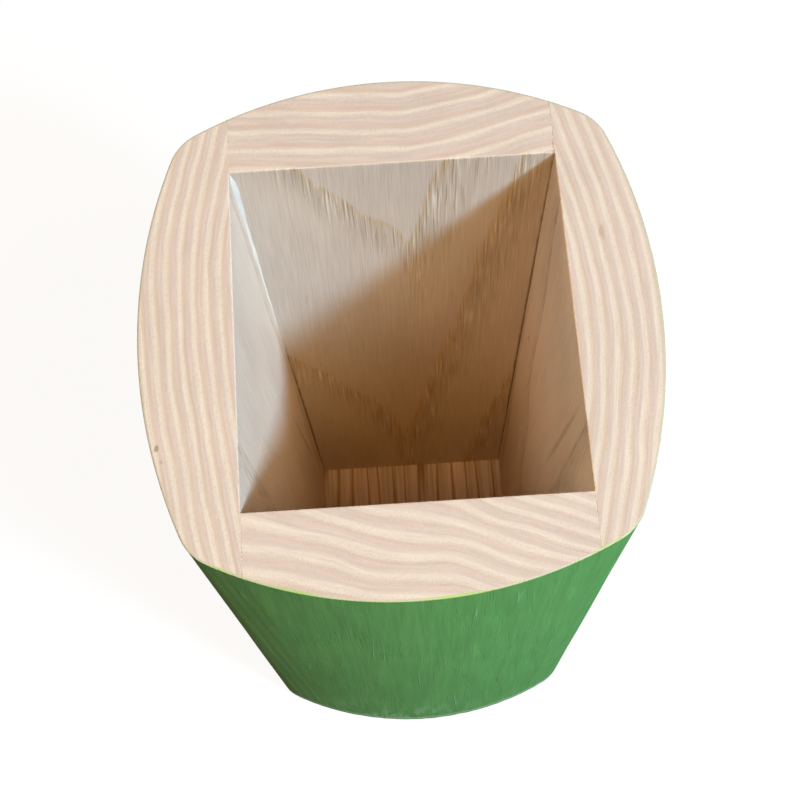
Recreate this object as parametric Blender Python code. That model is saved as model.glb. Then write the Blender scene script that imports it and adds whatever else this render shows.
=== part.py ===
# Pen holder cup: four upright ash boards glued into a rounded-square block around a
# tapered well, with a floor board let into a rebate at the bottom.
# Metres, +Z up. Origin at the middle of the foot, on the surface the cup stands on.
# The front is -Y.

import math

import bmesh
import bpy
from mathutils import Vector

# Outer block
RIM_WIDTH = 0.060          # across the rim, left to right
RIM_DEPTH = 0.063          # across the rim, front to back
HEIGHT = 0.115
FOOT_SCALE = 0.91          # foot outline over rim outline
SIDE_ARC_RADIUS = 0.0625   # bulge of the left and right sides at the rim
END_ARC_RADIUS = 0.0501    # bulge of the front and back at the rim
CORNER_RADIUS = 0.0062     # rounding where two bulged sides meet
FOOT_CHAMFER = 0.0005

# Well: inner face of each wall, as its distance from the axis at the rim and at the floor
LEFT_AT_RIM = 0.0189
LEFT_AT_FLOOR = 0.0146
RIGHT_AT_RIM = 0.0199
RIGHT_AT_FLOOR = 0.0164
FRONT_AT_RIM = 0.0204
FRONT_AT_FLOOR = 0.0149
BACK_AT_RIM = 0.0208
BACK_AT_FLOOR = 0.0151
RIGHT_FACE_SKEW = math.radians(1.2)   # the right wall's inner face closes in towards the back

# Floor board and the rebate that holds it
FLOOR_THICKNESS = 0.0052
REBATE_DEPTH = 0.003       # how far the floor board reaches into each wall
JOINT_GAP = 0.0003         # left between neighbouring pieces

SIDE_ARC_STEPS = 12        # segments from the middle of a side to its corner
CORNER_STEPS = 5
REACH = 0.05               # half-size of a cutter that runs past the block


def clear_scene():
    for existing in list(bpy.data.objects):
        bpy.data.objects.remove(existing, do_unlink=True)


def new_collection(name):
    collection = bpy.data.collections.new(name)
    bpy.context.scene.collection.children.link(collection)
    return collection


def new_material(name, colour, roughness):
    material = bpy.data.materials.new(name)
    material.use_nodes = True
    shader = material.node_tree.nodes["Principled BSDF"]
    shader.inputs["Base Color"].default_value = (*colour, 1.0)
    shader.inputs["Roughness"].default_value = roughness
    shader.inputs["Metallic"].default_value = 0.0
    return material


def circle_crossing(centre_a, radius_a, centre_b, radius_b):
    """Crossing of two circles that lies in the first quadrant."""
    between = centre_b - centre_a
    distance = between.length
    along = (distance ** 2 + radius_a ** 2 - radius_b ** 2) / (2 * distance)
    aside = math.sqrt(radius_a ** 2 - along ** 2)
    unit = between / distance
    normal = Vector((-unit.y, unit.x))
    crossings = [centre_a + unit * along + normal * aside, centre_a + unit * along - normal * aside]
    return max(crossings, key=lambda point: min(point.x, point.y))


def arc_points(centre, radius, start, end, steps):
    angles = [start + (end - start) * step / steps for step in range(steps + 1)]
    return [centre + Vector((math.cos(angle), math.sin(angle))) * radius for angle in angles]


def rim_outline():
    """Closed outline of the rim: four bulging arcs with a small round at each corner."""
    side_centre = Vector((RIM_WIDTH / 2 - SIDE_ARC_RADIUS, 0.0))
    end_centre = Vector((0.0, RIM_DEPTH / 2 - END_ARC_RADIUS))
    corner_centre = circle_crossing(side_centre, SIDE_ARC_RADIUS - CORNER_RADIUS,
                                    end_centre, END_ARC_RADIUS - CORNER_RADIUS)
    to_side = corner_centre - side_centre
    to_end = corner_centre - end_centre
    side_angle = math.atan2(to_side.y, to_side.x)
    end_angle = math.atan2(to_end.y, to_end.x)
    quarter = arc_points(side_centre, SIDE_ARC_RADIUS, 0.0, side_angle, SIDE_ARC_STEPS)
    quarter += arc_points(corner_centre, CORNER_RADIUS, side_angle, end_angle, CORNER_STEPS)[1:]
    quarter += arc_points(end_centre, END_ARC_RADIUS, end_angle, math.pi / 2, SIDE_ARC_STEPS)[1:]
    half = quarter + [Vector((-point.x, point.y)) for point in reversed(quarter[:-1])]
    return half + [Vector((-point.x, -point.y)) for point in half[1:-1]]


def block_mesh():
    """The outer block as one solid: the rim outline carried down and drawn in to the foot."""
    curve = bpy.data.curves.new("block_outline", "CURVE")
    curve.dimensions = "2D"
    curve.fill_mode = "BOTH"
    curve.extrude = HEIGHT / 2
    points = rim_outline()
    spline = curve.splines.new("POLY")
    spline.points.add(len(points) - 1)
    for spline_point, point in zip(spline.points, points):
        spline_point.co = (point.x, point.y, 0.0, 1.0)
    spline.use_cyclic_u = True
    guide = bpy.data.objects.new("block_outline", curve)
    bpy.context.scene.collection.objects.link(guide)
    depsgraph = bpy.context.evaluated_depsgraph_get()
    mesh = bpy.data.meshes.new_from_object(guide.evaluated_get(depsgraph))
    bpy.data.objects.remove(guide, do_unlink=True)

    solid = bmesh.new()
    solid.from_mesh(mesh)
    bmesh.ops.remove_doubles(solid, verts=solid.verts, dist=0.00001)
    bmesh.ops.translate(solid, verts=solid.verts, vec=(0.0, 0.0, HEIGHT / 2))
    foot_verts = [vert for vert in solid.verts if vert.co.z < HEIGHT / 2]
    bmesh.ops.scale(solid, verts=foot_verts, vec=(FOOT_SCALE, FOOT_SCALE, 1.0))
    bmesh.ops.dissolve_limit(solid, angle_limit=math.radians(0.1),
                             verts=solid.verts, edges=solid.edges)
    bmesh.ops.recalc_face_normals(solid, faces=solid.faces)
    foot_edges = [edge for edge in solid.edges
                  if max(vert.co.z for vert in edge.verts) < 0.00001]
    bmesh.ops.bevel(solid, geom=foot_edges, offset=FOOT_CHAMFER, segments=1, affect="EDGES")
    for face in solid.faces:
        face.material_index = 0 if abs(face.normal.z) > 0.9 else 1
        face.smooth = face.material_index == 1
    solid.to_mesh(mesh)
    solid.free()
    return mesh


def keep_behind(solid, point, normal):
    """Cut a convex solid by a plane, keep what lies behind it, and close the cut."""
    geometry = list(solid.verts) + list(solid.edges) + list(solid.faces)
    cut = bmesh.ops.bisect_plane(solid, geom=geometry, dist=0.0000001, plane_co=point,
                                 plane_no=normal, clear_outer=True)
    cut_edges = [item for item in cut["geom_cut"] if isinstance(item, bmesh.types.BMEdge)]
    filled = bmesh.ops.contextual_create(solid, geom=cut_edges)
    for face in filled["faces"]:
        face.material_index = 0
        face.smooth = False
    bmesh.ops.recalc_face_normals(solid, faces=solid.faces)


def well_face(outward, at_rim, at_floor, skew=0.0):
    """A point on a wall's inner face at the rim, and the face's normal away from the axis.

    The face leans so that the well narrows from at_rim to at_floor, and turns by skew
    about the upright axis.
    """
    lean = math.atan2(at_rim - at_floor, HEIGHT - FLOOR_THICKNESS)
    turned = Vector((outward.x * math.cos(skew) - outward.y * math.sin(skew),
                     outward.x * math.sin(skew) + outward.y * math.cos(skew), 0.0))
    normal = turned * math.cos(lean) - Vector((0.0, 0.0, 1.0)) * math.sin(lean)
    return outward * at_rim + Vector((0.0, 0.0, HEIGHT)), normal


def new_board(name, mesh, cuts, materials, collection):
    """A wall board: a copy of the block, kept behind each of the planes in cuts."""
    board_mesh = mesh.copy()
    board_mesh.name = name
    solid = bmesh.new()
    solid.from_mesh(board_mesh)
    for point, normal in cuts:
        keep_behind(solid, point, normal)
    solid.to_mesh(board_mesh)
    solid.free()
    for material in materials:
        board_mesh.materials.append(material)
    board_mesh.set_sharp_from_angle(angle=math.radians(25))
    board = bpy.data.objects.new(name, board_mesh)
    collection.objects.link(board)
    return board


def new_box(name, low, high, collection):
    """An axis-aligned box between two corners, made from a cube."""
    mesh = bpy.data.meshes.new(name)
    solid = bmesh.new()
    bmesh.ops.create_cube(solid, size=1.0)
    size = Vector(high) - Vector(low)
    bmesh.ops.scale(solid, verts=solid.verts, vec=size)
    solid.to_mesh(mesh)
    solid.free()
    box = bpy.data.objects.new(name, mesh)
    box.location = (Vector(low) + Vector(high)) / 2
    collection.objects.link(box)
    return box


def floor_box(name, side_gap, low_z, high_z, collection):
    """A box over the well's floor that reaches into the rebate, less a gap on each side."""
    reach = REBATE_DEPTH - side_gap
    low = (-LEFT_AT_FLOOR - reach, -FRONT_AT_FLOOR - reach, low_z)
    high = (RIGHT_AT_FLOOR + reach, BACK_AT_FLOOR + reach, high_z)
    return new_box(name, low, high, collection)


def add_cut(board, cutter):
    cut = board.modifiers.new("rebate", "BOOLEAN")
    cut.operation = "DIFFERENCE"
    cut.solver = "EXACT"
    cut.object = cutter


def build_cup():
    clear_scene()
    parts = new_collection("pen_holder_cup")
    cutters = new_collection("cutters")

    ash = new_material("bare_ash", (0.72, 0.55, 0.40), 0.55)
    paint = new_material("green_paint", (0.10, 0.27, 0.07), 0.42)
    floor_ash = new_material("floor_ash", (0.55, 0.38, 0.25), 0.6)

    left, right = Vector((-1.0, 0.0, 0.0)), Vector((1.0, 0.0, 0.0))
    front, back = Vector((0.0, -1.0, 0.0)), Vector((0.0, 1.0, 0.0))
    left_point, left_normal = well_face(left, LEFT_AT_RIM, LEFT_AT_FLOOR)
    right_point, right_normal = well_face(right, RIGHT_AT_RIM, RIGHT_AT_FLOOR, RIGHT_FACE_SKEW)
    front_point, front_normal = well_face(front, FRONT_AT_RIM, FRONT_AT_FLOOR)
    back_point, back_normal = well_face(back, BACK_AT_RIM, BACK_AT_FLOOR)

    block = block_mesh()
    between_sides = [(left_point - left_normal * JOINT_GAP, left_normal),
                     (right_point - right_normal * JOINT_GAP, right_normal)]
    walls = [
        new_board("left_wall", block, [(left_point, -left_normal)], [ash, paint], parts),
        new_board("right_wall", block, [(right_point, -right_normal)], [ash, paint], parts),
        new_board("front_wall", block, between_sides + [(front_point, -front_normal)],
                  [ash, paint], parts),
        new_board("back_wall", block, between_sides + [(back_point, -back_normal)],
                  [ash, paint], parts),
    ]
    bpy.data.meshes.remove(block)

    rebate = floor_box("floor_rebate", 0.0, -REACH, FLOOR_THICKNESS + JOINT_GAP, cutters)
    rebate.hide_render = True
    rebate.display_type = "WIRE"
    for wall in walls:
        add_cut(wall, rebate)

    floor_board = floor_box("floor_board", JOINT_GAP, 0.0, FLOOR_THICKNESS, parts)
    floor_board.data.materials.append(floor_ash)


build_cup()
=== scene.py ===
# Pen holder cup: four upright ash boards glued round a narrowing well, with a floor board let in
# at the bottom. The wood is bare on the rim and inside, and painted green outside.
import math
import bpy
import numpy as np
from mathutils import Matrix, Vector


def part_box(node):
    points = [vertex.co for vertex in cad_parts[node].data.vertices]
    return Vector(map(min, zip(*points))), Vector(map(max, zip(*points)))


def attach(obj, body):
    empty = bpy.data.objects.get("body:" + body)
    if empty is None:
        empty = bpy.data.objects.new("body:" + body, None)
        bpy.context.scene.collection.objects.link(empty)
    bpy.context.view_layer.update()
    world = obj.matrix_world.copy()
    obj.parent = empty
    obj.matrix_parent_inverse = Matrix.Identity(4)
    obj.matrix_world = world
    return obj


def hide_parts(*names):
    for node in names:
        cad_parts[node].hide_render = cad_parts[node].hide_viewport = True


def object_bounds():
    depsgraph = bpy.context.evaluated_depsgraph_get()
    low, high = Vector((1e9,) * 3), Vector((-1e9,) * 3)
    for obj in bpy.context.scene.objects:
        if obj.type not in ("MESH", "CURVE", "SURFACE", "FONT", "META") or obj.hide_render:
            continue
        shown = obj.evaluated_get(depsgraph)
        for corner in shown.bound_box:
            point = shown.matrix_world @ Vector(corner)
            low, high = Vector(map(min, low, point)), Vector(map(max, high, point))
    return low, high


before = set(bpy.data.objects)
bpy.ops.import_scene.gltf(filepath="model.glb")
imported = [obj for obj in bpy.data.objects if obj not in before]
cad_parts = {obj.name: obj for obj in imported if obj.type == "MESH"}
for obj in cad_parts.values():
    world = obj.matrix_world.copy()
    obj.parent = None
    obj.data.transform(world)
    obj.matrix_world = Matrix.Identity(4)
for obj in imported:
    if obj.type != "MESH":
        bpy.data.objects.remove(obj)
cadLow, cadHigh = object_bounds()
floorLow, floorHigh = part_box("floor_board")
print("frame loaded:", len(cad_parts), "solids")

mm = 0.001
rimWidth, rimDepth, cupHeight = cadHigh - cadLow
floorTop = floorHigh.z

# the block that the four boards make together, and the well inside it
cup = {
    "footScale": 0.91,  # foot outline over rim outline
    "sideArcRadius": 62.5 * mm,  # bulge of the left and right sides at the rim
    "endArcRadius": 50.1 * mm,  # bulge of the front and back at the rim
    "cornerRadius": 6.2 * mm,
    "wellAtRim": {"left": 18.9 * mm, "right": 19.9 * mm, "front": 20.4 * mm, "back": 20.8 * mm},
    "wellAtFloor": {"left": 14.6 * mm, "right": 16.4 * mm, "front": 14.9 * mm, "back": 15.1 * mm},
    "rightFaceSkew": math.radians(1.2),
    "glueLine": 0.004 * mm,  # left open between the end boards and the side boards
    "rimEase": 0.24 * mm,  # sanded round on the rim's outer edge
    "mouthEase": 0.16 * mm,  # and on its inner edge
    "jointEase": 0.05 * mm,
    "paintStops": math.radians(30),  # how far up the round the paint reaches
    "footChamfer": 0.5 * mm,
    "rebateClearance": 0.06 * mm,
    "rebateSlope": 0.03 * mm,  # the rebate's ceiling rises this much outwards
    "footRound": 0.34 * mm,  # how far the foot is rounded in, over footRoundUp
    "footRoundUp": 2.8 * mm,
    "crease": math.radians(28),  # edges sharper than this stay sharp
}

# how finely the boards are divided, with extra cuts near the ends; a side board's knots are the
# shares across it between which its inner face lies open
steps = {
    "across": 104,
    "through": 24,
    "up": 190,
    "rebate": 8,
    "ease": 5,
    "acrossCuts": [0.004, 0.996],
    "throughCuts": [0.015, 0.985],
    "knots": (0.14, 0.86),
    "knotStep": 0.0008,
}


# The rim outline is four arcs and four corner rounds. With l the length along it, counter-clockwise
# from the middle of the right side, a quarter is: side arc  (sx + Rs cos(l/Rs), Rs sin(l/Rs)),
# corner  c + r (cos t, sin t),  end arc  (Re cos u, ey + Re sin u); the rest are its mirror images.
sideRadius, endRadius, cornerRadius = cup["sideArcRadius"], cup["endArcRadius"], cup["cornerRadius"]
sideCentre = rimWidth / 2 - sideRadius
endCentre = rimDepth / 2 - endRadius


def cornerCentre():
    # where a circle r inside the side arc meets a circle r inside the end arc
    between = np.array([-sideCentre, endCentre])
    span = np.hypot(*between)
    nearSide, nearEnd = sideRadius - cornerRadius, endRadius - cornerRadius
    along = (span ** 2 + nearSide ** 2 - nearEnd ** 2) / (2 * span)
    aside = math.sqrt(nearSide ** 2 - along ** 2)
    unit = between / span
    return np.array([sideCentre, 0.0]) + unit * along + np.array([-unit[1], unit[0]]) * aside


cornerX, cornerY = cornerCentre()
sideAngle = math.atan2(cornerY, cornerX - sideCentre)
endAngle = math.atan2(cornerY - endCentre, cornerX)
sideLength = sideRadius * sideAngle
cornerLength = cornerRadius * (endAngle - sideAngle)
quarter = sideLength + cornerLength + endRadius * (math.pi / 2 - endAngle)
cornerMiddle = sideLength + cornerLength / 2


def outlineAt(length):
    turn = np.mod(length + quarter, 4 * quarter) - quarter
    mirrored = turn > quarter
    along = np.where(mirrored, 2 * quarter - turn, turn)
    reach = np.abs(along)
    onSide = reach / sideRadius
    onCorner = sideAngle + (reach - sideLength) / cornerRadius
    onEnd = endAngle + (reach - sideLength - cornerLength) / endRadius
    pieces = [reach <= sideLength, reach <= sideLength + cornerLength]
    x = np.select(pieces, [sideCentre + sideRadius * np.cos(onSide),
                           cornerX + cornerRadius * np.cos(onCorner)], endRadius * np.cos(onEnd))
    y = np.select(pieces, [sideRadius * np.sin(onSide),
                           cornerY + cornerRadius * np.sin(onCorner)],
                  endCentre + endRadius * np.sin(onEnd))
    return np.stack([np.where(mirrored, -x, x), np.sign(along) * y], -1)


def wellFace(side, z):
    # distance of an inner face from the axis: straight from the rim value to the floor value
    share = (cupHeight - z) / (cupHeight - floorTop)
    return cup["wellAtRim"][side] * (1 - share) + cup["wellAtFloor"][side] * share


def faceDistance(side, y, z):
    # the right face is turned a little about the upright axis
    turned = math.tan(cup["rightFaceSkew"]) * y if side == "right" else 0.0
    return wellFace(side, z) - turned


def jointLength(side, towards, z, scale, gap):
    # length along the outline where the plane of a side board's inner face comes out
    y = towards * rimDepth / 2 * scale
    for _ in range(4):
        x = faceDistance(side, y, z) - gap
        angle = np.arccos(x / (scale * endRadius))
        y = towards * (endCentre + endRadius * np.sin(angle)) * scale
    return sideLength + cornerLength + endRadius * (angle - endAngle)


def spread(start, end, share):
    # straight from start to end: start + (end - start) * share, for every level at once
    return start[:, None, :] + (end - start)[:, None, :] * share[None, :, None]


def closeLoops(sides):
    # four sides end to end, each without its last point
    return np.concatenate([side[:, :-1] for side in sides], 1)


def drawSides(sides, inward, alongSides):
    # moves each side inwards by its own amount, p - n inward; at a corner both amounts add, and the
    # slide that this gives the corner along a side is shared out as (1 - t) start + t end
    def unit(v):
        return v / np.maximum(np.linalg.norm(v, axis=2, keepdims=True), 1e-12)

    tangents = [unit(np.gradient(side, axis=1)) for side in sides]
    moves = [-np.stack([t[..., 1], -t[..., 0]], -1) * by[..., None] for t, by in zip(tangents, inward)]
    drawn = []
    for k, side in enumerate(sides):
        slides = []
        for end, other, otherEnd in ((0, k - 1, -1), (-1, (k + 1) % 4, 0)):
            own, others = tangents[k][:, end], tangents[other][:, otherEnd]
            sharp = np.abs(np.sum(own * others, 1)) < 0.7
            slides.append(np.where(sharp, np.sum(moves[other][:, otherEnd] * own, 1), 0.0))
        share = alongSides[k]
        slide = slides[0][:, None] * (1 - share) + slides[1][:, None] * share
        drawn.append(side + moves[k] + tangents[k] * slide[..., None])
    return drawn


def capIndex(nAcross, nThrough):
    # where a cap's four borders sit on the loop: inner, outer, and the two ends
    i, j = np.arange(nAcross + 1), np.arange(nThrough + 1)
    size = 2 * (nAcross + nThrough)
    return i, (2 * nAcross + nThrough - i) % size, (size - j) % size, nAcross + j


def coonsCap(loop, a, b):
    # Coons patch: (1-b) inner + b outer + (1-a) end0 + a end1 - bilinear patch of the corners
    nAcross, nThrough = len(a) - 1, len(b) - 1
    inner, outer, end0, end1 = (loop[index] for index in capIndex(nAcross, nThrough))
    a, b = a[:, None, None], b[None, :, None]
    ruled = (1 - b) * inner[:, None] + b * outer[:, None]
    ruled = ruled + (1 - a) * end0[None] + a * end1[None]
    corners = (1 - a) * ((1 - b) * inner[0] + b * outer[0]) + a * ((1 - b) * inner[-1] + b * outer[-1])
    return ruled - corners


def solidMesh(name, loops, a, b):
    # walls between neighbouring loops, and a cap over the first and the last; returns the cap levels too
    levels, size = loops.shape[:2]
    nAcross, nThrough = len(a) - 1, len(b) - 1
    wallIndex = np.arange(levels * size).reshape(levels, size)
    low, high = wallIndex[:-1], wallIndex[1:]
    walls = np.stack([low, np.roll(low, -1, 1), np.roll(high, -1, 1), high], -1).reshape(-1, 4)
    points = [loops.reshape(-1, 3)]
    faces = [walls]
    level = [np.repeat(np.arange(levels), size)]
    inside = (nAcross - 1) * (nThrough - 1)
    borders = capIndex(nAcross, nThrough)
    for cap, row in enumerate((0, levels - 1)):
        grid = np.empty((nAcross + 1, nThrough + 1), int)
        grid[1:-1, 1:-1] = levels * size + cap * inside + np.arange(inside).reshape(nAcross - 1, -1)
        grid[:, 0], grid[:, -1] = wallIndex[row][borders[0]], wallIndex[row][borders[1]]
        grid[0, :], grid[-1, :] = wallIndex[row][borders[2]], wallIndex[row][borders[3]]
        quads = np.stack([grid[:-1, :-1], grid[1:, :-1], grid[1:, 1:], grid[:-1, 1:]], -1).reshape(-1, 4)
        faces.append(quads if row else quads[:, ::-1])
        points.append(coonsCap(loops[row], a, b)[1:-1, 1:-1].reshape(-1, 3))
        level.append(np.full(inside, row))
    points, faces, level = np.concatenate(points), np.concatenate(faces), np.concatenate(level)
    mesh = bpy.data.meshes.new(name)
    mesh.vertices.add(len(points))
    mesh.vertices.foreach_set("co", points.ravel())
    mesh.loops.add(faces.size)
    mesh.loops.foreach_set("vertex_index", faces.ravel())
    mesh.polygons.add(len(faces))
    mesh.polygons.foreach_set("loop_start", np.arange(len(faces)) * 4)
    mesh.update(calc_edges=True)
    return mesh, points, faces, level


def addAttributes(mesh, **attributes):
    for name, values in attributes.items():
        kind, field = ("FLOAT", "value") if values.ndim == 1 else ("FLOAT_VECTOR", "vector")
        layer = mesh.attributes.new(name, kind, "POINT")
        layer.data.foreach_set(field, values.astype(np.float32).ravel())


def addObject(name, data):
    made = bpy.data.objects.new(name, data)
    bpy.context.scene.collection.objects.link(made)
    return made


def finishPiece(name, mesh, materials, materialIndex, sharpAngle, node):
    for material in materials:
        mesh.materials.append(material)
    mesh.polygons.foreach_set("material_index", materialIndex)
    mesh.validate()
    mesh.shade_smooth()
    mesh.set_sharp_from_angle(angle=sharpAngle)
    piece = addObject(name, mesh)
    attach(piece, "root")
    if node:
        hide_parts(node)
    print(name, "made:", len(mesh.polygons), "faces")


def addNode(tree, kind, inputs=None, **settings):
    made = tree.nodes.new("ShaderNode" + kind)
    for name, value in settings.items():
        setattr(made, name, value)
    for name, value in (inputs or {}).items():
        if isinstance(value, bpy.types.NodeSocket):
            tree.links.new(value, made.inputs[name])
        else:
            made.inputs[name].default_value = value
    return made


def maths(tree, operation, first, second=0.0, third=0.0):
    made = addNode(tree, "Math", {0: first, 1: second, 2: third}, operation=operation)
    return made.outputs[0]


def times(tree, first, second):
    return maths(tree, "MULTIPLY", first, second)


def timesPlus(tree, first, second, third):
    return maths(tree, "MULTIPLY_ADD", first, second, third)


def axis(tree, vector, letter):
    return addNode(tree, "SeparateXYZ", {0: vector}).outputs[letter]


def attribute(tree, name, output="Fac"):
    return addNode(tree, "Attribute", attribute_name=name).outputs[output]


def objectPlace(tree):
    return addNode(tree, "TexCoord").outputs["Object"]


def fade(tree, value, low, high):
    # 0 at low, 1 at high, smooth between
    inputs = {"Value": value, "From Min": low, "From Max": high}
    return addNode(tree, "MapRange", inputs, interpolation_type="SMOOTHSTEP").outputs["Result"]


def blendColour(tree, share, first, second, mode="MIX"):
    made = addNode(tree, "Mix", data_type="RGBA", blend_type=mode)
    for socket, value in ((0, share), (6, first), (7, second)):
        if isinstance(value, bpy.types.NodeSocket):
            tree.links.new(value, made.inputs[socket])
        else:
            made.inputs[socket].default_value = value
    return made.outputs[2]


def lay(tree, colour, mask, strength, over):
    # lays a colour over another where the mask is
    return blendColour(tree, times(tree, mask, strength), colour, over)


def stretchedNoise(tree, vector, stretch, detail=3.0, roughness=0.5):
    # stretch is cycles per millimetre across, through and along the grain
    scaled = addNode(tree, "VectorMath", {0: vector, 1: stretch}, operation="MULTIPLY").outputs[0]
    inputs = {"Vector": scaled, "Scale": 1.0, "Detail": detail, "Roughness": roughness}
    return addNode(tree, "TexNoise", inputs).outputs["Fac"]


def newGroup(name, inputs, outputs):
    tree = bpy.data.node_groups.new(name, "ShaderNodeTree")
    for label, kind in inputs:
        tree.interface.new_socket(label, in_out="INPUT", socket_type="NodeSocket" + kind)
    for label in outputs:
        tree.interface.new_socket(label, in_out="OUTPUT", socket_type="NodeSocketFloat")
    return tree, tree.nodes.new("NodeGroupInput").outputs, tree.nodes.new("NodeGroupOutput").inputs


def ashGrainGroup():
    # ash figure from a ring count and a place in the wood, in millimetres, with z along the grain
    tree, given, out = newGroup(
        "ash grain",
        [("Place", "Vector"), ("Ring", "Float"), ("Ring Gap", "Float"), ("Band Share", "Float"),
         ("Edge Side", "Float"), ("Line Width", "Float"), ("Early Width", "Float")],
        ["Light Band", "Brown Edge", "Ring Streak", "Ring Line", "Early Wood", "Pores", "Pale Fleck",
         "Fibre", "Mottle"])
    place = given["Place"]
    drift = maths(tree, "SUBTRACT", stretchedNoise(tree, place, (0.16, 0.30, 0.02), 2.0), 0.5)
    shiver = maths(tree, "SUBTRACT", stretchedNoise(tree, place, (0.9, 1.6, 0.08), 3.0), 0.5)

    # bands, as shares of a ring
    ring = timesPlus(tree, drift, 0.16, given["Ring"])
    ring = timesPlus(tree, shiver, 0.07, ring)
    wave = maths(tree, "COSINE", times(tree, ring, math.tau))
    bandStart = timesPlus(tree, given["Band Share"], -2.0, 1.0)
    light = fade(tree, wave, maths(tree, "SUBTRACT", bandStart, 0.6), maths(tree, "ADD", bandStart, 0.6))
    shifted = timesPlus(tree, given["Edge Side"], 0.25, ring)
    brown = fade(tree, maths(tree, "COSINE", times(tree, shifted, math.tau)), 0.2, 1.0)

    # streaks that run with the bands, because one axis of their noise is the ring count
    parts = addNode(tree, "SeparateXYZ", {0: place})
    woven = addNode(tree, "CombineXYZ", {"X": parts.outputs["X"], "Y": ring, "Z": parts.outputs["Z"]})
    ringStreak = stretchedNoise(tree, woven.outputs[0], (0.17, 7.0, 0.02), 4.0, 0.6)

    # lines, in millimetres from the ring's edge
    nearest = maths(tree, "ROUND", given["Ring"])
    away = times(tree, maths(tree, "SUBTRACT", given["Ring"], nearest), given["Ring Gap"])
    away = timesPlus(tree, drift, 1.1, away)
    away = timesPlus(tree, shiver, 0.5, away)
    line = fade(tree, maths(tree, "ABSOLUTE", away), given["Line Width"], 0.05)
    outside = fade(tree, away, times(tree, given["Line Width"], -1.0), 0.0)
    early = times(tree, fade(tree, away, given["Early Width"], 0.0), outside)

    # pores and pale flecks are the two ends of one noise, and weak outside early wood
    tubes = stretchedNoise(tree, place, (4.4, 4.4, 0.11), 1.5)
    scattered = timesPlus(tree, early, 0.8, 0.2)
    made = {
        "Light Band": light,
        "Brown Edge": brown,
        "Ring Streak": ringStreak,
        "Ring Line": line,
        "Early Wood": early,
        "Pores": times(tree, fade(tree, tubes, 0.52, 0.66), scattered),
        "Pale Fleck": times(tree, fade(tree, tubes, 0.46, 0.32), scattered),
        "Fibre": stretchedNoise(tree, place, (2.4, 2.4, 0.05), 5.0, 0.6),
        "Mottle": stretchedNoise(tree, place, (0.14, 0.14, 0.035), 3.0),
    }
    for label, value in made.items():
        tree.links.new(value, out[label])
    return tree


ashGrain = ashGrainGroup()


def useGrain(tree, look):
    made = tree.nodes.new("ShaderNodeGroup")
    made.node_tree = ashGrain
    tree.links.new(attribute(tree, "grain", "Vector"), made.inputs["Place"])
    tree.links.new(attribute(tree, "ring"), made.inputs["Ring"])
    tree.links.new(attribute(tree, "ringGap"), made.inputs["Ring Gap"])
    for label, name in (("Band Share", "bandShare"), ("Edge Side", "edgeSide"),
                        ("Line Width", "lineWidth"), ("Early Width", "earlyWidth")):
        made.inputs[label].default_value = look[name]
    return made.outputs


def woodMarkGroup():
    # a knot, stain, crack or line of painted shade: 1 inside the ellipsoid |(p - centre) / size| = 1, slid
    # across by lean for each millimetre up, with a ragged edge
    tree, given, out = newGroup(
        "wood mark or painted shade", [("Place", "Vector"), ("Centre", "Vector"), ("Size", "Vector"), ("Lean", "Float")],
        ["Mask"])
    away = addNode(tree, "VectorMath", {0: given["Place"], 1: given["Centre"]}, operation="SUBTRACT")
    parts = addNode(tree, "SeparateXYZ", {0: away.outputs[0]})
    slid = maths(tree, "SUBTRACT", parts.outputs["X"], times(tree, parts.outputs["Z"], given["Lean"]))
    joined = addNode(tree, "CombineXYZ", {"X": slid, "Y": parts.outputs["Y"], "Z": parts.outputs["Z"]})
    scaled = addNode(tree, "VectorMath", {0: joined.outputs[0], 1: given["Size"]}, operation="DIVIDE")
    length = addNode(tree, "VectorMath", {0: scaled.outputs[0]}, operation="LENGTH").outputs["Value"]
    edge = stretchedNoise(tree, given["Place"], (2.5, 2.5, 0.5), 3.0)
    ragged = timesPlus(tree, edge, 0.9, length)
    tree.links.new(fade(tree, ragged, 1.45, 0.75), out["Mask"])
    return tree


woodMarkOrShade = woodMarkGroup()


def useMark(tree, place, centre, size, lean):
    made = tree.nodes.new("ShaderNodeGroup")
    made.node_tree = woodMarkOrShade
    tree.links.new(place, made.inputs["Place"])
    for label, value in (("Centre", centre), ("Size", size), ("Lean", lean)):
        made.inputs[label].default_value = value
    return made.outputs["Mask"]


def newMaterial(name):
    material = bpy.data.materials.new(name)
    material.use_nodes = True
    return material, material.node_tree, material.node_tree.nodes["Principled BSDF"]


def shade(tree, colour, value, strength, low=0.25, high=0.75):
    # darken or lighten by a value between low and high: strength is the whole swing
    swing = addNode(tree, "MapRange", {"Value": value, "From Min": low, "From Max": high,
                                       "To Min": 1 - strength / 2, "To Max": 1 + strength / 2})
    return blendColour(tree, 1.0, colour, swing.outputs[0], "MULTIPLY")


def finishShader(tree, shader, look, colour, rough, height):
    # colour, roughness and relief, and how much the surface mirrors
    bump = addNode(tree, "Bump", {"Height": height, "Strength": look["bump"], "Distance": look["relief"]})
    tree.links.new(colour, shader.inputs["Base Color"])
    tree.links.new(rough, shader.inputs["Roughness"])
    tree.links.new(bump.outputs["Normal"], shader.inputs["Normal"])
    shader.inputs["Specular IOR Level"].default_value = look["specular"]


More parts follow.
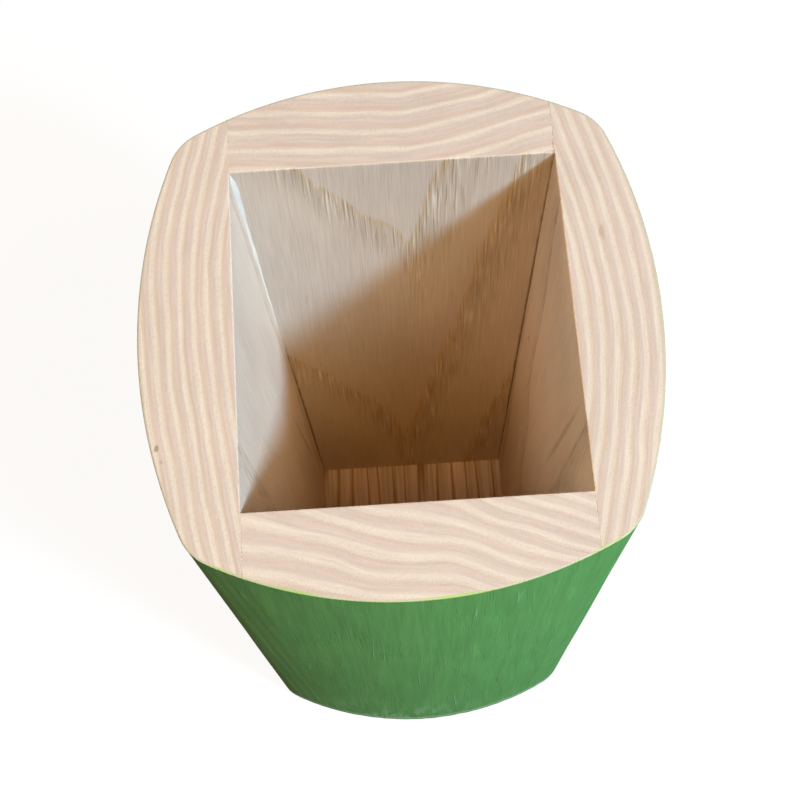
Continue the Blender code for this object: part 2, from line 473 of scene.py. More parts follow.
def bareAsh(name, look):
    material, tree, shader = newMaterial(name)
    grain = useGrain(tree, look)
    endGrain = attribute(tree, "endGrain")

    # end grain: pinkish wood with light bands, each with a brown edge and fine pores
    end = lay(tree, look["endWood"], grain["Light Band"], look["endContrast"], look["endBand"])
    end = lay(tree, end, grain["Brown Edge"], look["endBrown"], look["brown"])
    end = lay(tree, end, grain["Pores"], look["endPores"], look["brown"])
    end = shade(tree, end, grain["Ring Streak"], look["endStreaks"])
    end = shade(tree, end, grain["Fibre"], look["endMottle"])
    end = shade(tree, end, grain["Mottle"], look["endMottle"])

    # long grain: the same rings cut at a low angle, with the pores as short dashes
    wall = lay(tree, look["wallWood"], grain["Early Wood"], look["earlyTint"], look["wallEarly"])
    wall = lay(tree, wall, grain["Ring Line"], look["wallContrast"], look["wallBand"])
    wall = lay(tree, wall, grain["Pores"], look["wallPores"], look["poreDark"])
    wall = lay(tree, wall, grain["Pale Fleck"], look["wallFlecks"], look["fleck"])
    wall = shade(tree, wall, grain["Fibre"], look["wallFibre"])
    wall = shade(tree, wall, grain["Mottle"], look["mottle"])

    colour = blendColour(tree, endGrain, wall, end)
    place = attribute(tree, "grain", "Vector")
    for centre, size, lean, strength, tone in look["marks"]:
        colour = lay(tree, colour, useMark(tree, place, centre, size, lean), strength, tone)

    # the rim's sanded edge is a little soiled, and along the front thin paint lies over it in places
    here = objectPlace(tree)
    atFront = fade(tree, axis(tree, here, "Y"), *frontPaint)
    creep = fade(tree, stretchedNoise(tree, here, look["creepScale"], 3.0), 0.40, 0.56)
    edgeTone = blendColour(tree, times(tree, creep, atFront), look["edgeSoil"], look["edgePaint"])
    onEdge = fade(tree, attribute(tree, "rimEdge"), 0.40, 0.95)
    colour = lay(tree, colour, onEdge, look["edgeCover"], edgeTone)

    # rougher in the fibre and the pores; the pores sink, less so on end grain
    rough = timesPlus(tree, grain["Fibre"], 0.18, look["roughness"] - 0.09)
    rough = timesPlus(tree, grain["Pores"], 0.2, rough)
    height = timesPlus(tree, grain["Pores"], -1.0, times(tree, grain["Fibre"], 0.5))
    height = times(tree, height, timesPlus(tree, endGrain, -0.75, 1.0))
    finishShader(tree, shader, look, colour, rough, height)
    return material


def greenPaint(look):
    material, tree, shader = newMaterial("green paint")
    grain = useGrain(tree, look)
    place = attribute(tree, "grain", "Vector")
    here = objectPlace(tree)
    x, y, z = (axis(tree, here, letter) for letter in "XYZ")

    colour = blendColour(tree, grain["Mottle"], look["deep"], look["green"])
    streak = stretchedNoise(tree, place, (1.1, 1.1, 0.03), 4.0, 0.65)
    colour = shade(tree, colour, streak, look["streaks"], 0.3, 0.7)
    colour = shade(tree, colour, grain["Fibre"], look["fibre"])
    colour = lay(tree, colour, grain["Pores"], look["pores"], look["deep"])

    # pale upright rubs just above the foot, most of them near the middle of the front
    rubs = fade(tree, stretchedNoise(tree, place, (0.60, 0.60, 0.09), 4.0, 0.65), 0.45, 0.60)
    lowDown = fade(tree, z, look["rubHeight"], 2.0 * mm)
    aside = maths(tree, "ABSOLUTE", maths(tree, "SUBTRACT", x, look["rubPlace"]))
    handled = times(tree, fade(tree, aside, look["rubWidth"], 0.3 * look["rubWidth"]),
                    fade(tree, y, 0.0, -12 * mm))
    handled = timesPlus(tree, handled, 0.8, 0.2)
    rubs = times(tree, times(tree, rubs, lowDown), handled)
    rubs = times(tree, rubs, look["rubs"])
    colour = blendColour(tree, rubs, colour, look["rubbed"])

    # a few long thin wrinkles where the paint shrank, the middle of a slow wave in the noise
    wave = maths(tree, "SUBTRACT", stretchedNoise(tree, place, (0.50, 0.50, 0.008), 0.6), 0.5)
    few = fade(tree, stretchedNoise(tree, place, (0.13, 0.13, 0.05), 2.0), 0.52, 0.62)
    wrinkle = times(tree, fade(tree, maths(tree, "ABSOLUTE", wave), 0.022, 0.0), few)
    colour = lay(tree, colour, wrinkle, look["wrinkles"], look["rubbed"])

    # thin bright paint where it breaks over the front of the rim
    patches = fade(tree, stretchedNoise(tree, here, look["patchScale"], 2.0), 0.30, 0.55)
    nearRim = fade(tree, z, cupHeight - look["thinFrom"], cupHeight - look["thinTo"])
    thin = times(tree, nearRim, times(tree, patches, fade(tree, y, *frontPaint)))
    colour = blendColour(tree, thin, colour, look["thinEdge"])

    # painted highlight: a pale line just above the foot's edge, where its round catches the light, and
    # painted shade on the round under it
    lower, full, fullTo, upper = look["footHighlightAt"]
    paintedFootHighlight = times(tree, fade(tree, z, upper, fullTo), fade(tree, z, lower, full))
    colour = lay(tree, colour, paintedFootHighlight, look["footHighlight"], look["footHighlightColour"])
    colour = lay(tree, colour, fade(tree, z, *look["footPaintedShadeAt"]), look["footShade"], look["footPaintedShade"])

    # the wrinkles and rubs stand up, the pores sink, and fine peel lies over all
    rough = timesPlus(tree, streak, 0.16, look["roughness"] - 0.08)
    rough = timesPlus(tree, rubs, 0.25, rough)
    height = timesPlus(tree, grain["Pores"], -0.9, times(tree, grain["Fibre"], 0.5))
    height = timesPlus(tree, stretchedNoise(tree, here, look["peelScale"], 2.0), 0.18, height)
    height = timesPlus(tree, wrinkle, 1.6, height)
    height = timesPlus(tree, rubs, 1.5, height)
    finishShader(tree, shader, look, colour, rough, height)
    return material


# thin paint lies on the rim's edge along the front: where it sets in, and where it is full, in y
frontPaint = (-24 * mm, -27 * mm)

# what every bare ash face shares; a board's own entries go over these
ashLook = {
    "endWood": (0.50, 0.425, 0.385, 1),
    "endBand": (0.585, 0.53, 0.465, 1),
    "brown": (0.47, 0.36, 0.285, 1),
    "wallWood": (0.68, 0.585, 0.485, 1),
    "wallBand": (0.60, 0.44, 0.26, 1),
    "poreDark": (0.40, 0.29, 0.18, 1),
    "wallEarly": (0.58, 0.48, 0.37, 1),
    "earlyTint": 0.45,
    "bandShare": 0.45,
    "edgeSide": 1.0,
    "lineWidth": 0.45,  # millimetres
    "earlyWidth": 3.5,
    "endContrast": 0.9,
    "endBrown": 0.35,
    "endPores": 0.25,
    "endStreaks": 0.20,
    "endMottle": 0.06,
    "wallContrast": 0.45,
    "wallPores": 0.55,
    "wallFlecks": 0.30,
    "fleck": (0.86, 0.80, 0.73, 1),
    "wallFibre": 0.18,
    "mottle": 0.14,
    "edgeSoil": (0.45, 0.42, 0.33, 1),
    "edgePaint": (0.27, 0.48, 0.06, 1),
    "edgeCover": 0.8,
    "creepScale": (150.0,) * 3,  # cycles per metre
    "marks": [],
    "roughness": 0.5,
    "specular": 0.4,
    "bump": 0.6,
    "relief": 0.11 * mm,
}

paint = greenPaint({
    "bandShare": 0.35,
    "edgeSide": 1.0,
    "lineWidth": 0.5,  # millimetres
    "earlyWidth": 3.0,
    "green": (0.197, 0.520, 0.145, 1),
    "deep": (0.125, 0.385, 0.100, 1),
    "rubbed": (0.33, 0.60, 0.30, 1),
    "thinEdge": (0.26, 0.50, 0.05, 1),
    "streaks": 0.20,
    "fibre": 0.20,
    "pores": 0.35,
    "rubs": 0.85,
    "rubPlace": -5 * mm,
    "rubWidth": 15 * mm,
    "wrinkles": 0.5,
    # a painted highlight along the foot's round, and painted shade on the round under it
    "footHighlight": 1.0,
    "footHighlightAt": (3.0 * mm, 3.7 * mm, 4.6 * mm, 5.4 * mm),  # starts, full from, full to, ends
    "footHighlightColour": (0.42, 0.70, 0.38, 1),
    "footShade": 0.8,
    "footPaintedShadeAt": (3.4 * mm, 2.2 * mm),
    "footPaintedShade": (0.045, 0.14, 0.04, 1),
    "rubHeight": 30 * mm,
    "thinFrom": 0.40 * mm,  # below the rim
    "thinTo": 0.15 * mm,
    "patchScale": (120.0,) * 3,  # cycles per metre
    "peelScale": (1400.0,) * 3,
    "roughness": 0.42,
    "specular": 0.12,
    "bump": 0.6,
    "relief": 0.06 * mm,
})


# Each board has a ring count that rises by one from ring to ring. u is the place across the board
# and w the depth out from its inner face, in millimetres, and z the height, in millimetres.
rimHeight = cupHeight / mm


def ringWander(u, w, z):
    return (0.05 * np.sin(0.32 * u + 0.8 * w + 0.8) + 0.015 * np.sin(1.1 * u - 0.6 * w + 0.02 * z)
            + 0.04 * np.sin(0.11 * z + 0.35 * u))


leftBoard = {
    "noiseAt": (310.0, 40.0, 7.0),  # where in the noise this board lies
    "wander": 1.0,  # how much of ringWander its rings take
    "ringSpacing": 1.55,
    "bowMiddle": 6.0,  # where the bands lie furthest out
    "bowFall": {"back": (3.1, 19.4), "front": (3.4, 31.1)},  # fall of a band, and over what run
    "lean": 0.006,  # rings crossed per millimetre of height
    # the left board's pale wall colour stands in for the sheen on the lit left wall: painted sheen
    "look": {"bandShare": 0.5, "endContrast": 0.85, "endBrown": 0.55,
             "wallContrast": 0.12, "wallWood": (0.87, 0.71, 0.60, 1), "earlyTint": 0.25},
    # centre and size, across, out from the inner face and up, in millimetres; lean; strength; colour
    "marks": [
        ((-12.4, 9.1, 115), (0.55, 0.35, 3), 0, 0.75, (0.20, 0.15, 0.13, 1)),
        ((-14.0, 8.6, 115), (0.35, 0.30, 3), 0, 0.5, (0.30, 0.22, 0.18, 1)),
        ((11.0, 0, 39.0), (0.22, 2, 19), -0.071, 0.8, (0.30, 0.20, 0.13, 1)),
    ],
}
rightBoard = {
    "noiseAt": (-150.0, 90.0, 31.0),
    "wander": 1.0,
    "ringSpacing": 1.6,
    "bowMiddle": 0.5,
    "bowFall": {"back": (4.1, 25.0), "front": (4.2, 25.0)},
    "lean": 0.012,
    # the right board's light wall colours lift its shaded inner face: painted light
    "look": {"bandShare": 0.5, "edgeSide": -1.0, "endContrast": 0.8, "endBrown": 0.5,
             "wallContrast": 0.25, "wallWood": (0.88, 0.70, 0.53, 1),
             "wallEarly": (0.70, 0.52, 0.36, 1)},
    "marks": [
        ((10.4, 4.3, 115), (1.3, 0.5, 3), 0, 0.8, (0.42, 0.31, 0.23, 1)),
        ((-7.2, 0, 92), (0.6, 2, 26), -0.11, 0.45, (0.42, 0.29, 0.18, 1)),
        ((14.3, 0, 69.3), (0.25, 2, 1.6), 0, 0.7, (0.25, 0.15, 0.09, 1)),
    ],
}


def bowedRings(board):
    # count = (w + fall(u)) / spacing + lean (H - z) + 0.05,  fall = drop (|u - middle| / run)^1.7
    def rings(u, w, z):
        away = u - board["bowMiddle"]
        back, front = (drop * (np.abs(away) / run) ** 1.7 for drop, run in
                       (board["bowFall"]["back"], board["bowFall"]["front"]))
        fall = np.where(away > 0, back, front)
        return (w + fall) / board["ringSpacing"] + 0.05 + board["lean"] * (rimHeight - z)
    return rings


frontBoard = {
    "noiseAt": (75.0, -60.0, 112.0),
    "wander": 1.0,
    "ringAtMiddle": 4.0,
    "slope": 0.31,
    "dip": (-0.65, 4.8, 3.6),  # height, place and width of two waves in the bands
    "hump": (0.35, -4.5, 3.0),
    "ringSpacing": (2.3, -0.03),  # at the middle, and how it changes across
    "lean": 0.010,
    "look": {"bandShare": 0.42, "edgeSide": -1.0, "endContrast": 0.75, "endBrown": 0.25,
             "wallContrast": 0.25},
}


def frontRings(u, w, z):
    # count = 10 + (w - g(u)) / spacing(u) + lean (H - z),  g = middle + slope u + dip + hump, the
    # last two bell curves
    g = frontBoard["ringAtMiddle"] + frontBoard["slope"] * u
    for height, place, width in (frontBoard["dip"], frontBoard["hump"]):
        g = g + height * np.exp(-((u - place) / width) ** 2)
    base, change = frontBoard["ringSpacing"]
    return 10.0 + (w - g) / (base + change * u) + frontBoard["lean"] * (rimHeight - z)


# the back board is cut nearly along its rings, so they meet its inner face in pointed arches
backBoard = {
    "noiseAt": (10.0, 210.0, -45.0),
    "wander": 0.5,
    "ringSpacing": 2.4,
    # each arch: apex across and height, rise per mm to the right, knee and its reach, rise to the left
    "arches": [
        (2.0, 158.0, 4.2, 4.0, 3.0, 1.6),
        (1.6, 92.5, 4.6, 3.0, 1.5, 1.55),
        (-0.4, 16.5, 6.3, 20.0, 2.6, 1.15),
        (-3.5, -62.0, 5.5, 22.0, 3.0, 2.2),
        (-5.0, -120.0, 5.5, 22.0, 3.0, 2.2),
    ],
    # the back board's darker wall colours stand in for the shade on the back wall: painted shade
    "look": {"bandShare": 0.16, "endContrast": 1.0, "endBrown": 0.40,
             "wallContrast": 0.52, "wallPores": 0.70, "wallFibre": 0.13, "lineWidth": 0.75,
             "wallFlecks": 0.65, "earlyWidth": 6.5, "earlyTint": 0.75,
             "wallWood": (0.60, 0.52, 0.455, 1), "wallEarly": (0.52, 0.435, 0.345, 1)},
    # the dark lines in the two corners of the well and along the floor: dark joints, with painted shade where
    # the walls and the floor meet
    "marks": [
        ((17.72, 0, 60), (0.36, 3, 80), 0.0308, 0.8, (0.13, 0.08, 0.05, 1)),
        ((-15.5, 0, 31), (0.34, 3, 36), -0.0392, 0.75, (0.16, 0.10, 0.06, 1)),
        ((1.0, 0, 5.2), (19, 3, 0.45), 0, 0.6, (0.16, 0.10, 0.06, 1)),
    ],
}


def archHeight(u, place, height, right, knee, reach, left):
    # with d across from the apex:  z = apex + right d  for d > 0, a little rounded, and
    # z = apex + knee (1 - exp(d / reach)) - left d  for d < 0
    d = u - place
    toLeft = np.minimum(d, 0.0)
    rounded = np.sqrt(np.maximum(d, 0.0) ** 2 + 0.3) - math.sqrt(0.3)
    return height + right * rounded + knee * (1 - np.exp(toLeft / reach)) - left * toLeft


def backRings(u, w, z):
    # on the inner face the count is 0, 1, 2 ... on the arches and straight between them;
    # further out in the board it falls by one ring for each ring spacing
    heights = [archHeight(u, *arch) for arch in backBoard["arches"]]
    count = np.zeros_like(u)
    for above, below in zip(heights[:-1], heights[1:]):
        count = count + np.clip((above - z) / (above - below), 0.0, 1.0)
    return count - w / backBoard["ringSpacing"] + 20.0


outward = {"right": (1, 0), "back": (0, 1), "left": (-1, 0), "front": (0, -1)}
baseLength = {"right": 0.0, "back": quarter, "left": 2 * quarter, "front": 3 * quarter}
startSide = {"right": "back", "back": "left", "left": "front", "front": "right"}
endSide = {"right": "front", "back": "right", "left": "back", "front": "left"}
yOf = {"back": 1, "front": -1}
floorReach = {"left": -floorLow.x, "right": floorHigh.x, "front": -floorLow.y, "back": floorHigh.y}


def levelList():
    # foot chamfer, rebate up to the floor board's top, the plain wall, and the round on the rim
    rebateTop = floorTop + cup["rebateClearance"]
    low = np.concatenate([[0.0], np.linspace(cup["footChamfer"], rebateTop, steps["rebate"])])
    wall = np.linspace(rebateTop + cup["rebateSlope"], cupHeight - cup["rimEase"], steps["up"])
    top = np.full(steps["ease"], cupHeight)
    angle = np.concatenate([np.zeros(len(low) + len(wall)),
                            np.linspace(0, math.pi / 2, steps["ease"] + 1)[1:]])
    notched = np.arange(len(angle)) < len(low)
    return np.concatenate([low, wall, top]), angle, notched


def shares(count, tips):
    # even steps from 0 to 1 with extra ones close to each end or knot
    even = np.linspace(0, 1, count - len(tips) + 1)
    return np.unique(np.concatenate([even, tips]))


def innerLine(side, a, z, notched, knots):
    # the inner face, from the start side to the end side; c runs across and o outwards
    out = np.array(outward[side], float)
    run = np.array([out[1], -out[0]])
    scale = cup["footScale"] + (1 - cup["footScale"]) * z / cupHeight
    first, last = startSide[side], endSide[side]
    clearance = cup["rebateClearance"]
    if side in yOf:
        face = wellFace(side, z)
        y = yOf[side] * face
        c0 = -(faceDistance(first, y, z) - cup["glueLine"])
        c3 = faceDistance(last, y, z) - cup["glueLine"]
        c = c0[:, None] + (c3 - c0)[:, None] * a
        inRebate = notched[:, None] & np.ones_like(a, bool)
    else:
        edge0 = outlineAt(jointLength(side, yOf[first], z, scale, 0.0)) * scale[:, None]
        edge3 = outlineAt(jointLength(side, yOf[last], z, scale, 0.0)) * scale[:, None]
        c0, c3 = -edge0[:, 1], edge3[:, 1]
        c1 = -np.where(notched, floorReach[first] + clearance, wellFace(first, z))
        c2 = np.where(notched, floorReach[last] + clearance, wellFace(last, z))
        parts = [(c0, c1, 0.0, knots[0]), (c1, c2, knots[0], knots[1]), (c2, c3, knots[1], 1.0)]
        c = c0[:, None] + sum((end - start)[:, None] * np.clip((a - low) / (high - low), 0, 1)
                              for start, end, low, high in parts)
        inRebate = notched[:, None] & (a >= knots[0]) & (a <= knots[1])
    y = c * run[1]
    o = faceDistance(side, y, z[:, None]) if side not in yOf else wellFace(side, z)[:, None] + 0 * c
    o = np.where(inRebate, floorReach[side] + clearance, o)
    return c[..., None] * run + o[..., None] * out, scale


def boardSides(side, a, b, knots):
    z, angle, notched = levelList()
    inner, scale = innerLine(side, a, z, notched, knots)
    first, last, base = startSide[side], endSide[side], baseLength[side]
    if side in yOf:
        towards = yOf[side]
        gap = cup["glueLine"]
        lengthFirst = quarter - jointLength(first, towards, z, scale, gap)
        lengthLast = quarter - jointLength(last, towards, z, scale, gap)
        outerLength = base - lengthLast[:, None] + (lengthLast + lengthFirst)[:, None] * (1 - a[::-1])
        outer = outlineAt(outerLength) * scale[:, None, None]
        end1 = spread(inner[:, -1], outer[:, 0], b)
        end0 = spread(outer[:, -1], inner[:, 0], 1 - b[::-1])
    else:
        outerLength = base + cornerMiddle * (1 - 2 * a[::-1])
        outer = outlineAt(outerLength)[None] * scale[:, None, None]
        lengthFirst = jointLength(side, yOf[first], z, scale, 0.0)
        lengthLast = jointLength(side, yOf[last], z, scale, 0.0)
        run1 = -lengthLast[:, None] + (lengthLast - cornerMiddle)[:, None] * b
        run0 = cornerMiddle + (lengthFirst - cornerMiddle)[:, None] * (1 - b[::-1])
        end1 = outlineAt(base + run1) * scale[:, None, None]
        end0 = outlineAt(base + run0) * scale[:, None, None]
        inner[:, -1], inner[:, 0] = end1[:, 0], end0[:, -1]
    return [inner, end1, outer, end0], z, angle


def easeAlong(side, a, knots, bCount):
    # how far each side is rounded over at the rim, and cut back at the foot
    mouth, joint, rim, chamfer = (cup[k] for k in ("mouthEase", "jointEase", "rimEase", "footChamfer"))
    between = side in yOf
    inner = np.full(len(a), mouth) if between else np.where((a > knots[0]) & (a < knots[1]), mouth, joint)
    end = np.full(bCount, joint if between else rim)
    footEnd = np.full(bCount, 0.0 if between else chamfer)
    ease = [inner, end, np.full(len(a), rim), end]
    foot = [0 * a, footEnd, np.full(len(a), chamfer), footEnd]
    return ease, foot


paintSkin = {
    "ringDepth": 0.030 * mm,
    "rippleDepth": 0.045 * mm,
    "rippleUp": 7.0,  # millimetres from the foot over which the ripples die away
    "dentDepth": 0.020 * mm,
    "level": 0.02 * mm,
    "jointRun": 2.5,  # millimetres from a joint over which the relief sets in
    "rimRun": 1.5 * mm,  # and from the rim
    "creep": 0.012,  # how far the paint wraps into a joint: share of a side board's inner line,
    "endCreep": 0.95,  # and share of an end board's joint face that stays bare
}


def paintedAlong(side, a, b):
    # the outside is painted, and the paint runs a little way into the joints
    if side in yOf:
        return [a < 0, b > paintSkin["endCreep"], a >= 0, b[::-1] > paintSkin["endCreep"]]
    return [np.abs(a - 0.5) > 0.5 - paintSkin["creep"], b >= 0, a >= 0, b >= 0]


def paintRelief(rings, u, z, fromJoint):
    # how far the paint lies in: the soft early wood of each ring sinks a little, and the paint
    # ripples just above the foot; it runs level over the joints
    sunk = (0.5 + 0.5 * np.cos(math.tau * rings)) ** 2
    ripple = (np.sin(2.3 * u + 0.7 * np.sin(0.9 * u)) * 0.5 + 0.5) ** 2
    ripple = ripple * np.exp(-z / paintSkin["rippleUp"])
    dents = np.sin(0.31 * u + 0.06 * z) * np.sin(0.045 * z + 0.2 * u)
    relief = paintSkin["ringDepth"] * sunk + paintSkin["rippleDepth"] * ripple
    relief = relief + paintSkin["dentDepth"] * dents
    return relief * np.clip(fromJoint / paintSkin["jointRun"], 0, 1) + paintSkin["level"]


def ringGap(rings, u, w, z, onEnd):
    # millimetres from ring to ring on the surface: 1 / |gradient|, in (u, w) on end grain, else (u, z)
    tiny = 0.02
    here = rings(u, w, z)
    byU = (rings(u + tiny, w, z) - here) / tiny
    byW = (rings(u, w + tiny, z) - here) / tiny
    byZ = (rings(u, w, z + tiny) - here) / tiny
    steepness = np.hypot(byU, np.where(onEnd > 0.5, byW, byZ))
    return 1 / np.maximum(steepness, 0.01)


def makeBoard(name, side, board, rings):
    knots, knotStep = steps["knots"], steps["knotStep"]
    tips = steps["acrossCuts"]
    if side not in yOf:
        tips = tips + [knots[0] - knotStep, *knots, knots[1] + knotStep]
    a = shares(steps["across"], tips)
    b = shares(steps["through"], steps["throughCuts"])
    sides, z, angle = boardSides(side, a, b, knots)
    ease, foot = easeAlong(side, a, knots, len(b))
    painted = paintedAlong(side, a, b)
    sideSteps = [a, b, 1 - a[::-1], 1 - b[::-1]]

    def woodPlace(points, height):
        # place across, depth out from the inner face, and height
        x, y = points[..., 0], points[..., 1]
        across, out = (x, y * yOf[side]) if side in yOf else (y, x * outward[side][0])
        return across / mm, (out - faceDistance(side, y, height)) / mm, height / mm + 0 * x

    rise = (angle > 0)[:, None]
    heights = [np.where(rise, cupHeight - by * (1 - np.sin(angle))[:, None], z[:, None]) for by in ease]
    inward = []
    outside = (0, 0, 1, 0) if side in yOf else (0, 1, 1, 1)
    for plan, height, by, cut, isOutside in zip(sides, heights, ease, foot, outside):
        u, w, h = woodPlace(plan, height)
        amount = by * (1 - np.cos(angle))[:, None]
        amount[0] = cut
        fromJoint = w if side not in yOf else np.minimum(faceDistance("left", 0, height) + plan[..., 0],
                                                         faceDistance("right", 0, height) - plan[..., 0]) / mm
        sunk = paintRelief(rings(u, w, h), u, h, fromJoint)
        sunk = sunk * isOutside * np.clip((cupHeight - height) / paintSkin["rimRun"], 0, 1)
        low = np.clip(1 - height / cup["footRoundUp"], 0, 1) ** 2
        inward.append(amount + sunk + cup["footRound"] * low * isOutside)
    sides = drawSides(sides, inward, sideSteps)
    points = np.concatenate([closeLoops(sides), closeLoops([h[..., None] for h in heights])], -1)
    painted = np.concatenate([flags[:-1] for flags in painted])

    mesh, points, faces, level = solidMesh(name, points, a, b)
    u, w, h = woodPlace(points, points[:, 2])
    onEnd = np.sin(angle) ** 2
    onEnd[0] = 1.0
    onEnd = onEnd[level]
    size = len(painted)
    onRimEdge = np.zeros(len(points))
    onRimEdge[:len(z) * size] = (np.sin(angle)[:, None] * painted).ravel()
    offset = np.array(board["noiseAt"])
    addAttributes(mesh, grain=np.stack([u, w, h], -1) + offset, endGrain=onEnd, rimEdge=onRimEdge,
                  ring=rings(u, w, h) + board["wander"] * ringWander(u, w, h),
                  ringGap=ringGap(rings, u, w, h, onEnd))

    # a wall face is painted if both of its loop points are
    isPaint = np.zeros(len(faces), np.int32)
    belowEdge = angle[:-1] < cup["paintStops"]
    isPaint[:(len(z) - 1) * size] = np.outer(belowEdge, painted & np.roll(painted, -1)).ravel()
    marks = [(offset + mark[0], *mark[1:]) for mark in board.get("marks", [])]
    wood = bareAsh("bare ash " + side, {**ashLook, **board["look"], "marks": marks})
    finishPiece(name, mesh, [wood, paint], isPaint, cup["crease"], side + "_wall")


makeBoard("left_board", "left", leftBoard, bowedRings(leftBoard))
makeBoard("right_board", "right", rightBoard, bowedRings(rightBoard))
makeBoard("front_board", "front", frontBoard, frontRings)
makeBoard("back_board", "back", backBoard, backRings)


floorBoard = {
    "noiseAt": (-40.0, 15.0, 260.0),
    "ringSpacing": 2.45,
    "edgeEase": 0.15 * mm,
    "relief": 0.03 * mm,
    "crease": math.radians(35),
    "look": {
        "wallWood": (0.58, 0.51, 0.60, 1),
        "wallEarly": (0.42, 0.34, 0.33, 1),
        "wallBand": (0.24, 0.16, 0.12, 1),
        "poreDark": (0.22, 0.14, 0.10, 1),
        "lineWidth": 0.30,
        "earlyWidth": 1.1,
        "earlyTint": 0.7,
        "wallContrast": 0.75,
        "wallPores": 0.7,
        "wallFlecks": 0.15,
        "wallFibre": 0.75,
        "mottle": 0.35,
    },
}


def makeFloorBoard():
    # a rectangle carried up, drawn in by r (1 - cos t) as it nears the lower and upper faces
    ease = floorBoard["edgeEase"]
    quarterTurn = np.linspace(0, math.pi / 2, 4)
    z = np.concatenate([ease * (1 - np.cos(quarterTurn)), floorTop - ease * (1 - np.sin(quarterTurn))])
    drawIn = np.concatenate([ease * (1 - np.sin(quarterTurn)), ease * (1 - np.cos(quarterTurn))])
    a, b = np.linspace(0, 1, 121), np.linspace(0, 1, 61)
    corners = np.array([(floorLow.x, floorLow.y), (floorHigh.x, floorLow.y),
                        (floorHigh.x, floorHigh.y), (floorLow.x, floorHigh.y)])
    inward = np.array([(1, 1), (-1, 1), (-1, -1), (1, -1)])
    plan = corners[None] + inward[None] * drawIn[:, None, None]
    sides = [spread(plan[:, k], plan[:, (k + 1) % 4], share) for k, share in enumerate((a, b, a, b))]
    loops = closeLoops(sides)
    loops = np.concatenate([loops, np.broadcast_to(z[:, None, None], loops.shape[:2] + (1,))], -1)
    mesh, points, faces, level = solidMesh("floor_panel", loops, a, b)
    u, w, along = points[:, 0] / mm, points[:, 2] / mm, points[:, 1] / mm
    ring = (u + 0.35 * w + 0.25 * np.sin(0.13 * along + 0.4 * u)) / floorBoard["ringSpacing"] + 0.28
    ring = ring + 0.16 * np.sin(1.1 * u + 0.7) + 0.10 * np.sin(2.9 * u + 2.0)
    sunk = (0.5 + 0.5 * np.cos(math.tau * ring)) ** 3
    isTop = (level == len(z) - 1) & (np.arange(len(points)) >= loops.shape[0] * loops.shape[1])
    points[:, 2] -= np.where(isTop, floorBoard["relief"] * sunk, 0)
    mesh.vertices.foreach_set("co", points.ravel())
    none = np.zeros(len(points))
    addAttributes(mesh, grain=np.stack([u, w, along], -1) + np.array(floorBoard["noiseAt"]), ring=ring,
                  ringGap=none + floorBoard["ringSpacing"], endGrain=none, rimEdge=none)
    wood = bareAsh("bare ash floor", {**ashLook, **floorBoard["look"]})
    finishPiece("floor_panel", mesh, [wood], np.zeros(len(faces), np.int32), floorBoard["crease"],
                "floor_board")


makeFloorBoard()


glueFillet = {
    "top": 114.2 * mm,
    "bottom": 58 * mm,
    "radius": 0.72 * mm,  # of the hollow at the top; it dwindles to nothing downwards
    "dwindle": 1.3,
    "waver": 0.10,
    "sunk": 0.02 * mm,  # into the two walls
    "clear": (0.80, 0.78, 0.77, 1),
    "milky": (0.86, 0.82, 0.76, 1),
    "clearsUp": (88 * mm, 108 * mm),
    "roughness": 0.22,
    "specular": 0.5,
    "bump": 0.4,
    "relief": 0.1 * mm,
    "crease": math.radians(50),
}


def glueMaterial():
    material, tree, shader = newMaterial("dried glue")
    here = objectPlace(tree)
    cloud = stretchedNoise(tree, here, (900.0, 900.0, 160.0), 3.0)
    cleared = fade(tree, axis(tree, here, "Z"), *glueFillet["clearsUp"])
    colour = blendColour(tree, cleared, glueFillet["milky"], glueFillet["clear"])
    colour = shade(tree, colour, cloud, 0.12, 0.3, 0.7)
    rough = timesPlus(tree, cloud, 0.3, glueFillet["roughness"] - 0.15)
    finishShader(tree, shader, glueFillet, colour, rough, cloud)
    return material


def makeGlueFillet():
    # a hollow bead up the well's back left corner: c + r (1 - sin t, cos t - 1), t from 0 to 90
    # degrees, closed behind at the corner c, with r = R s^dwindle (1 + waver) for s up the bead
    up = np.linspace(0, 1, 160)
    z = glueFillet["bottom"] + (glueFillet["top"] - glueFillet["bottom"]) * up
    waver = glueFillet["waver"] * (np.sin(23 * up) + 0.6 * np.sin(61 * up + 1))
    radius = glueFillet["radius"] * (0.06 + 0.94 * up ** glueFillet["dwindle"]) * (1 + waver)
    radius = radius * np.sqrt(np.clip((1.004 - up) / 0.03, 0, 1))
    turn = np.linspace(0, math.pi / 2, 13)
    across = np.concatenate([radius[:, None] * (1 - np.sin(turn)), np.zeros((len(z), 1))], 1)
    down = np.concatenate([radius[:, None] * (1 - np.cos(turn)), np.zeros((len(z), 1))], 1)
    x = -wellFace("left", z)[:, None] - glueFillet["sunk"] + across
    y = wellFace("back", z)[:, None] + glueFillet["sunk"] - down
    points = np.stack([x, y, np.broadcast_to(z[:, None], x.shape)], -1)[:, ::-1]
    count = points.shape[1]
    index = np.arange(len(z) * count).reshape(len(z), count)
    low, high = index[:-1], index[1:]
    walls = np.stack([low, np.roll(low, -1, 1), np.roll(high, -1, 1), high], -1).reshape(-1, 4)
    mesh = bpy.data.meshes.new("glue_fillet")
    ends = [index[0, ::-1].tolist(), index[-1].tolist()]
    mesh.from_pydata(points.reshape(-1, 3).tolist(), [], walls.tolist() + ends)
    flat = np.zeros(len(mesh.polygons), np.int32)
    finishPiece("glue_fillet", mesh, [glueMaterial()], flat, glueFillet["crease"], None)


makeGlueFillet()


stageLook = {
    "floorSize": 6.0,
    "floorColour": (0.07, 0.07, 0.07, 1),
    "floorGlow": 0.91,  # seen by the camera only, so that the floor stays pale
    "skyColour": (1.0, 0.90, 0.80, 1),
    "skyStrength": 0.04,
    "backdrop": (0.97, 0.97, 0.97, 1),
}

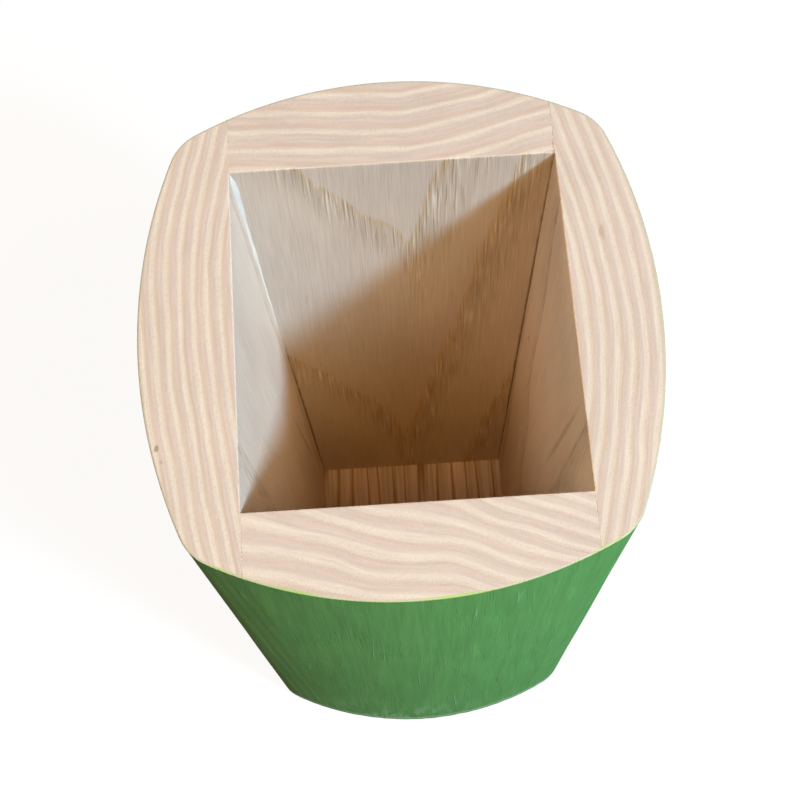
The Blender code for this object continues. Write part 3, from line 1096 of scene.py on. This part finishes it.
# each lamp: direction from the cup, distance, size, and how bright it makes a white card that faces
# it, in red, green and blue
lampAim = 80 * mm
lamps = {
    "key": ((0.536, -0.408, 0.74), 1.2, 0.17, (0.60, 0.99, 1.32)),
    "over": ((0.0, -0.31, 0.95), 1.0, 0.25, (0.46, 0.205, 0.03)),
    "right": ((0.38, -0.31, 0.87), 1.0, 0.30, (0.37, 0.31, 0.18)),
    "left": ((-0.38, -0.31, 0.87), 1.0, 0.30, (0.20, 0.135, 0.07)),
    "behind": ((-0.40, 0.86, 0.32), 1.0, 0.5, (0.30, 0.27, 0.22)),
}


def makeStage():
    half = stageLook["floorSize"] / 2
    mesh = bpy.data.meshes.new("studio_floor")
    mesh.from_pydata([(-half, -half, 0), (half, -half, 0), (half, half, 0), (-half, half, 0)], [],
                     [(0, 1, 2, 3)])
    material, tree, shader = newMaterial("studio floor")
    shader.inputs["Base Color"].default_value = stageLook["floorColour"]
    shader.inputs["Roughness"].default_value = 0.9
    shader.inputs["Emission Color"].default_value = (1, 1, 1, 1)
    seen = times(tree, addNode(tree, "LightPath").outputs["Is Camera Ray"], stageLook["floorGlow"])
    tree.links.new(seen, shader.inputs["Emission Strength"])
    mesh.materials.append(material)
    floor = addObject("studio_floor", mesh)


def addLamp(name, direction, distance, size, brightness):
    # a disk of power (pi d)^2 makes a white card that faces it from d away as bright as 1
    strength = max(brightness)
    light = bpy.data.lights.new(name + " light", "AREA")
    light.shape = "DISK"
    light.size = size
    light.energy = strength * (math.pi * distance) ** 2
    light.color = [part / strength for part in brightness]
    made = addObject(name + " light", light)
    direction = Vector(direction).normalized()
    made.location = Vector((0, 0, lampAim)) + direction * distance
    made.rotation_euler = direction.to_track_quat("Z", "Y").to_euler()


def makeLight():
    # a dim warm room, which the camera sees as a plain pale backdrop
    world = bpy.data.worlds.new("studio sky")
    world.use_nodes = True
    tree = world.node_tree
    room = tree.nodes["Background"]
    room.inputs["Color"].default_value = stageLook["skyColour"]
    room.inputs["Strength"].default_value = stageLook["skyStrength"]
    backdrop = addNode(tree, "Background", {"Color": stageLook["backdrop"], "Strength": 1.0})
    seen = addNode(tree, "LightPath").outputs["Is Camera Ray"]
    mixed = addNode(tree, "MixShader", {0: seen, 1: room.outputs[0], 2: backdrop.outputs[0]})
    tree.links.new(mixed.outputs[0], tree.nodes["World Output"].inputs["Surface"])
    bpy.context.scene.world = world
    for name, lamp in lamps.items():
        addLamp(name, *lamp)
    print("lamps set:", len(lamps))


cameraLook = {
    "place": (-0.5 * mm, -70.2 * mm, 304.9 * mm),
    "tilt": math.radians(18.0),  # up from straight down
    "roll": math.radians(-3.62),
    "lens": 80.0,
    "sensor": 36.0,
}


def makeCamera():
    data = bpy.data.cameras.new("camera")
    data.lens = cameraLook["lens"]
    data.sensor_width = cameraLook["sensor"]
    data.clip_start = 0.01
    camera = addObject("camera", data)
    camera.location = cameraLook["place"]
    turn = Matrix.Rotation(cameraLook["tilt"], 3, "X") @ Matrix.Rotation(cameraLook["roll"], 3, "Z")
    camera.rotation_euler = turn.to_euler()
    bpy.context.scene.camera = camera


makeStage()
makeLight()
makeCamera()
bpy.context.scene.view_settings.view_transform = "Standard"
